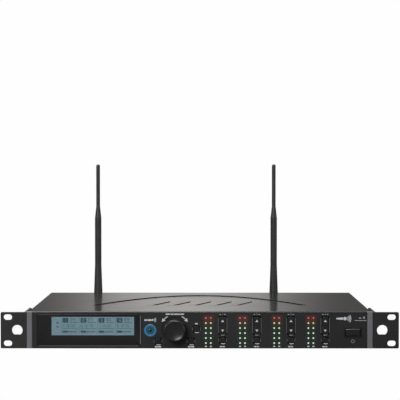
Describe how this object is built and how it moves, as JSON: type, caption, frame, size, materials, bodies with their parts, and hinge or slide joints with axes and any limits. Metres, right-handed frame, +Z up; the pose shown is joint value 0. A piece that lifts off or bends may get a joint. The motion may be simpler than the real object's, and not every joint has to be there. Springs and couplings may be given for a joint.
{
  "type": "wireless receiver unit",
  "caption": "Rack-mounted wireless microphone receiver with display, encoder knob, channel keys, level lights and hinged whip antennas at the back.",
  "frame": {"origin": "middle of the overall box in X and Y, at the underside of the case", "axes": "+X to the right seen from the front, +Y towards the back, +Z up"},
  "size_m": [0.4826, 0.33, 0.2235],
  "materials": {
    "cover_paint": "satin powder coat",
    "rear_paint": "matt powder coat",
    "ear_paint": "satin powder coat",
    "panel_plastic": "finely textured moulded plastic",
    "strip_silver": "satin grey paint",
    "window_black": "polished dark acrylic",
    "window_clear": "clear acrylic",
    "screen_glass": "lit liquid crystal screen",
    "screen_ink": "dark display segments",
    "frame_metal": "tinned steel",
    "board_green": "solder mask",
    "tin_plate": "tinned steel sheet",
    "ring_blue": "lit blue light guide",
    "button_teal": "translucent dark teal plastic",
    "key_plastic": "satin plastic",
    "knob_plastic": "satin turned plastic",
    "shaft_steel": "turned steel",
    "light_red": "lit red lamp",
    "light_amber": "lit amber lamp",
    "light_green": "lit green lamp",
    "switch_plastic": "black moulded plastic",
    "socket_nickel": "nickel plate",
    "contact_gold": "gold-plated contacts",
    "jack_plastic": "moulded plastic",
    "screw_black": "black zinc",
    "core_steel": "laminated core",
    "cable_grey": "flat cable",
    "cable_black": "cable sheath",
    "elbow_plastic": "moulded nylon",
    "whip_rubber": "satin moulded rubber",
    "legend_white": "printed legend",
    "legend_grey": "printed legend"
  },
  "bodies": {
    "case": {"amber_lights": "light_amber", "base_chassis": "cover_paint", "bnc_collars": "socket_nickel", "bnc_sockets": "socket_nickel", "board_standoffs": "shaft_steel", "case_screws": "screw_black", "control_board": "board_green", "display_window": "window_black", "encoder_body": "frame_metal", "front_panel": "panel_plastic", "green_lights": "light_green", "internal_leads": "cable_black", "jack_sockets": "jack_plastic", "lcd_frame": "frame_metal", "lcd_glass": "screen_glass", "main_board": "board_green", "power_inlet": "switch_plastic", "power_supply_board": "board_green", "power_switch_housing": "switch_plastic", "rack_ear_left": "ear_paint", "rack_ear_right": "ear_paint", "rear_panel": "rear_paint", "receiver_module_1": "tin_plate", "receiver_module_2": "tin_plate", "receiver_module_3": "tin_plate", "receiver_module_4": "tin_plate", "red_lights": "light_red", "ribbon_cable": "cable_grey", "sync_light_ring": "ring_blue", "tact_switches": "frame_metal", "top_cover": "cover_paint", "transformer": "core_steel", "trim_strip_left": "strip_silver", "trim_strip_right": "strip_silver", "xlr_pins": "contact_gold", "xlr_socket_1": "socket_nickel", "xlr_socket_2": "socket_nickel", "xlr_socket_3": "socket_nickel", "xlr_socket_4": "socket_nickel"},
    "knob_carrier": {"encoder_shaft": "shaft_steel"},
    "knob": {"encoder_knob": "knob_plastic"},
    "port_button": {"sync_button": "button_teal"},
    "left_menu_key_body": {"left_menu_key": "key_plastic"},
    "right_menu_key_body": {"right_menu_key": "key_plastic"},
    "scan_key_body": {"scan_key": "key_plastic"},
    "select_key_1_body": {"select_key_1": "key_plastic"},
    "select_key_2_body": {"select_key_2": "key_plastic"},
    "select_key_3_body": {"select_key_3": "key_plastic"},
    "select_key_4_body": {"select_key_4": "key_plastic"},
    "volume_key_1_body": {"volume_key_1": "key_plastic"},
    "volume_key_2_body": {"volume_key_2": "key_plastic"},
    "volume_key_3_body": {"volume_key_3": "key_plastic"},
    "volume_key_4_body": {"volume_key_4": "key_plastic"},
    "rocker": {"power_rocker": "switch_plastic"},
    "elbow_a": {"antenna_elbow_a": "elbow_plastic", "hinge_pin_a": "shaft_steel"},
    "whip_a": {"antenna_whip_a": "whip_rubber"},
    "elbow_b": {"antenna_elbow_b": "elbow_plastic", "hinge_pin_b": "shaft_steel"},
    "whip_b": {"antenna_whip_b": "whip_rubber"}
  },
  "joints": [
    {"name": "knob_press", "type": "slide", "parent": "case", "child": "knob_carrier", "axis": [0, 1, 0], "range_m": [0, 0.0005], "stiffness_N_per_m": 2000},
    {"name": "knob_turn", "type": "hinge", "parent": "knob_carrier", "child": "knob", "pos_m": [-0.0302, -0.149, 0.0226], "axis": [0, 1, 0], "continuous": true},
    {"name": "port_button_press", "type": "slide", "parent": "case", "child": "port_button", "axis": [0, 1, 0], "range_m": [0, 0.0006], "stiffness_N_per_m": 1500},
    {"name": "left_menu_key_press", "type": "slide", "parent": "case", "child": "left_menu_key_body", "axis": [0, 1, 0], "range_m": [0, 0.0006], "stiffness_N_per_m": 1500},
    {"name": "right_menu_key_press", "type": "slide", "parent": "case", "child": "right_menu_key_body", "axis": [0, 1, 0], "range_m": [0, 0.0006], "stiffness_N_per_m": 1500},
    {"name": "scan_key_press", "type": "slide", "parent": "case", "child": "scan_key_body", "axis": [0, 1, 0], "range_m": [0, 0.0006], "stiffness_N_per_m": 1500},
    {"name": "select_key_1_press", "type": "slide", "parent": "case", "child": "select_key_1_body", "axis": [0, 1, 0], "range_m": [0, 0.0006], "stiffness_N_per_m": 1500},
    {"name": "select_key_2_press", "type": "slide", "parent": "case", "child": "select_key_2_body", "axis": [0, 1, 0], "range_m": [0, 0.0006], "stiffness_N_per_m": 1500},
    {"name": "select_key_3_press", "type": "slide", "parent": "case", "child": "select_key_3_body", "axis": [0, 1, 0], "range_m": [0, 0.0006], "stiffness_N_per_m": 1500},
    {"name": "select_key_4_press", "type": "slide", "parent": "case", "child": "select_key_4_body", "axis": [0, 1, 0], "range_m": [0, 0.0006], "stiffness_N_per_m": 1500},
    {"name": "volume_key_1_rock", "type": "hinge", "parent": "case", "child": "volume_key_1_body", "pos_m": [0.0278, -0.1448, 0.02795], "axis": [1, 0, 0], "range_deg": [-3, 3], "stiffness_Nm_per_rad": 0.3},
    {"name": "volume_key_2_rock", "type": "hinge", "parent": "case", "child": "volume_key_2_body", "pos_m": [0.0692, -0.1448, 0.02795], "axis": [1, 0, 0], "range_deg": [-3, 3], "stiffness_Nm_per_rad": 0.3},
    {"name": "volume_key_3_rock", "type": "hinge", "parent": "case", "child": "volume_key_3_body", "pos_m": [0.1106, -0.1448, 0.02795], "axis": [1, 0, 0], "range_deg": [-3, 3], "stiffness_Nm_per_rad": 0.3},
    {"name": "volume_key_4_rock", "type": "hinge", "parent": "case", "child": "volume_key_4_body", "pos_m": [0.152, -0.1448, 0.02795], "axis": [1, 0, 0], "range_deg": [-3, 3], "stiffness_Nm_per_rad": 0.3},
    {"name": "power_rocker_throw", "type": "hinge", "parent": "case", "child": "rocker", "pos_m": [0.1855, -0.1475, 0.0195], "axis": [0, 0, 1], "range_deg": [-17, 0]},
    {"name": "antenna_a_swivel", "type": "hinge", "parent": "case", "child": "elbow_a", "pos_m": [-0.1455, 0.131, 0.022], "axis": [0, 1, 0], "range_deg": [-90, 90]},
    {"name": "antenna_a_fold", "type": "hinge", "parent": "elbow_a", "child": "whip_a", "pos_m": [-0.1455, 0.159, 0.022], "axis": [-1, 0, 0], "range_deg": [0, 90]},
    {"name": "antenna_b_swivel", "type": "hinge", "parent": "case", "child": "elbow_b", "pos_m": [0.1045, 0.131, 0.022], "axis": [0, 1, 0], "range_deg": [-90, 90]},
    {"name": "antenna_b_fold", "type": "hinge", "parent": "elbow_b", "child": "whip_b", "pos_m": [0.1045, 0.159, 0.022], "axis": [-1, 0, 0], "range_deg": [0, 90]}
  ]
}
